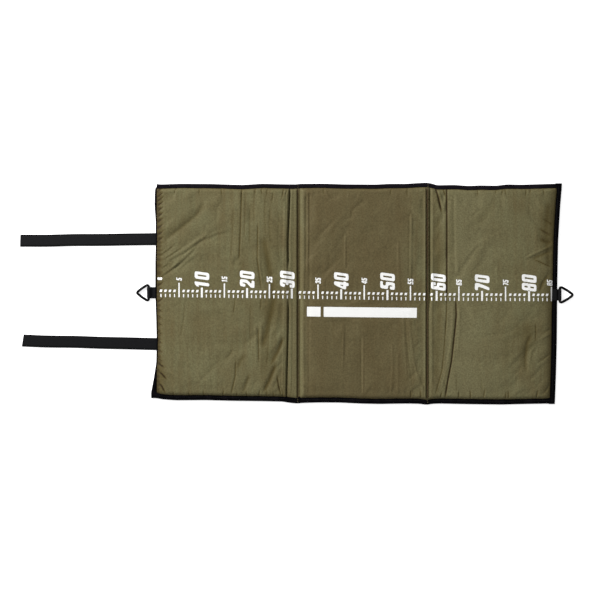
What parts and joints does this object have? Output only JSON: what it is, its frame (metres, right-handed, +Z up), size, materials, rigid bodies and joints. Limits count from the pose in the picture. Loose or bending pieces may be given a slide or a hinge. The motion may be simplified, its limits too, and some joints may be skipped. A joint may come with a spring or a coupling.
{
  "type": "unhooking mat",
  "caption": "Padded tri-fold mat for resting a landed fish, with a printed ruler, two tie straps, edge binding and a ring at each end.",
  "frame": {"origin": "on the ground under the middle of the middle panel, on the flat underside", "axes": "+X along the printed ruler towards its high numbers, +Y across the mat, +Z up out of its face"},
  "size_m": [1.1904, 0.475, 0.015],
  "materials": {
    "face_cloth": "satin",
    "under_cloth": "matte",
    "foam": "matte",
    "trim": "matte",
    "hook_tape": "matte",
    "ring_metal": "satin"
  },
  "bodies": {
    "middle": {"middle_top_cover": "face_cloth", "middle_foam": "foam", "middle_base_cover": "under_cloth", "middle_upper_binding": "trim", "middle_lower_binding": "trim", "upper_loop_patch": "hook_tape", "lower_loop_patch": "hook_tape"},
    "right_fold_strip": {"right_fold_top_cover": "face_cloth", "right_fold_base_cover": "under_cloth", "right_fold_upper_binding": "trim", "right_fold_lower_binding": "trim"},
    "right": {"right_top_cover": "face_cloth", "right_foam": "foam", "right_base_cover": "under_cloth", "right_upper_binding": "trim", "right_lower_binding": "trim", "right_end_binding": "trim", "right_tab_tail": "trim"},
    "spine": {"spine_top_cover": "face_cloth", "spine_foam": "foam", "spine_base_cover": "under_cloth", "spine_upper_binding": "trim", "spine_lower_binding": "trim"},
    "left": {"left_top_cover": "face_cloth", "left_foam": "foam", "left_base_cover": "under_cloth", "left_upper_binding": "trim", "left_lower_binding": "trim", "left_end_binding": "trim"},
    "upper_strap_side_length": {"upper_strap_side": "hook_tape"},
    "upper_strap_end_length": {"upper_strap_end": "hook_tape"},
    "lower_strap_side_length": {"lower_strap_side": "hook_tape"},
    "lower_strap_end_length": {"lower_strap_end": "hook_tape"},
    "left_tab": {"left_ring_tab": "trim"},
    "left_wire_ring": {"left_ring": "ring_metal"},
    "right_tab": {"right_ring_tab": "trim"},
    "right_wire_ring": {"right_ring": "ring_metal"}
  },
  "joints": [
    {"name": "right_fold_inner", "type": "hinge", "parent": "middle", "child": "right_fold_strip", "pos_m": [0.1346, 0, 0.0101], "axis": [0, -1, 0], "range_deg": [0, 90]},
    {"name": "right_fold_outer", "type": "hinge", "parent": "right_fold_strip", "child": "right", "pos_m": [0.1454, 0, 0.0101], "axis": [0, -1, 0], "range_deg": [0, 90]},
    {"name": "left_fold_inner", "type": "hinge", "parent": "middle", "child": "spine", "pos_m": [-0.14, 0, 0.0155], "axis": [0, 1, 0], "range_deg": [0, 90]},
    {"name": "left_fold_outer", "type": "hinge", "parent": "spine", "child": "left", "pos_m": [-0.1616, 0, 0.0155], "axis": [0, 1, 0], "range_deg": [0, 90]},
    {"name": "upper_strap_root", "type": "hinge", "parent": "left", "child": "upper_strap_side_length", "pos_m": [-0.4474, 0.1175, 0.0025], "axis": [0, 1, 0], "range_deg": [0, 90]},
    {"name": "upper_strap_bend", "type": "hinge", "parent": "upper_strap_side_length", "child": "upper_strap_end_length", "pos_m": [-0.4977, 0.1175, 0.0025], "axis": [0, 1, 0], "range_deg": [0, 90]},
    {"name": "lower_strap_root", "type": "hinge", "parent": "left", "child": "lower_strap_side_length", "pos_m": [-0.4474, -0.109, 0.0025], "axis": [0, 1, 0], "range_deg": [0, 90]},
    {"name": "lower_strap_bend", "type": "hinge", "parent": "lower_strap_side_length", "child": "lower_strap_end_length", "pos_m": [-0.4977, -0.109, 0.0025], "axis": [0, 1, 0], "range_deg": [0, 90]},
    {"name": "left_tab_fold", "type": "hinge", "parent": "left", "child": "left_tab", "pos_m": [-0.4474, 0, -0.0003], "axis": [0, -1, 0], "range_deg": [0, 180]},
    {"name": "left_ring_swing", "type": "hinge", "parent": "left_tab", "child": "left_wire_ring", "pos_m": [-0.4626, 0, 0.0033], "axis": [0, -1, 0], "range_deg": [-145, 0]},
    {"name": "right_tab_fold", "type": "hinge", "parent": "right", "child": "right_tab", "pos_m": [0.4213, 0, -0.0003], "axis": [0, 1, 0], "range_deg": [0, 180]},
    {"name": "right_ring_swing", "type": "hinge", "parent": "right_tab", "child": "right_wire_ring", "pos_m": [0.4263, 0, 0.0033], "axis": [0, 1, 0], "range_deg": [-125, 0]}
  ],
  "couplings": [
    {"joint": "right_fold_outer", "follows": "right_fold_inner", "ratio": 1},
    {"joint": "left_fold_outer", "follows": "left_fold_inner", "ratio": 1}
  ]
}
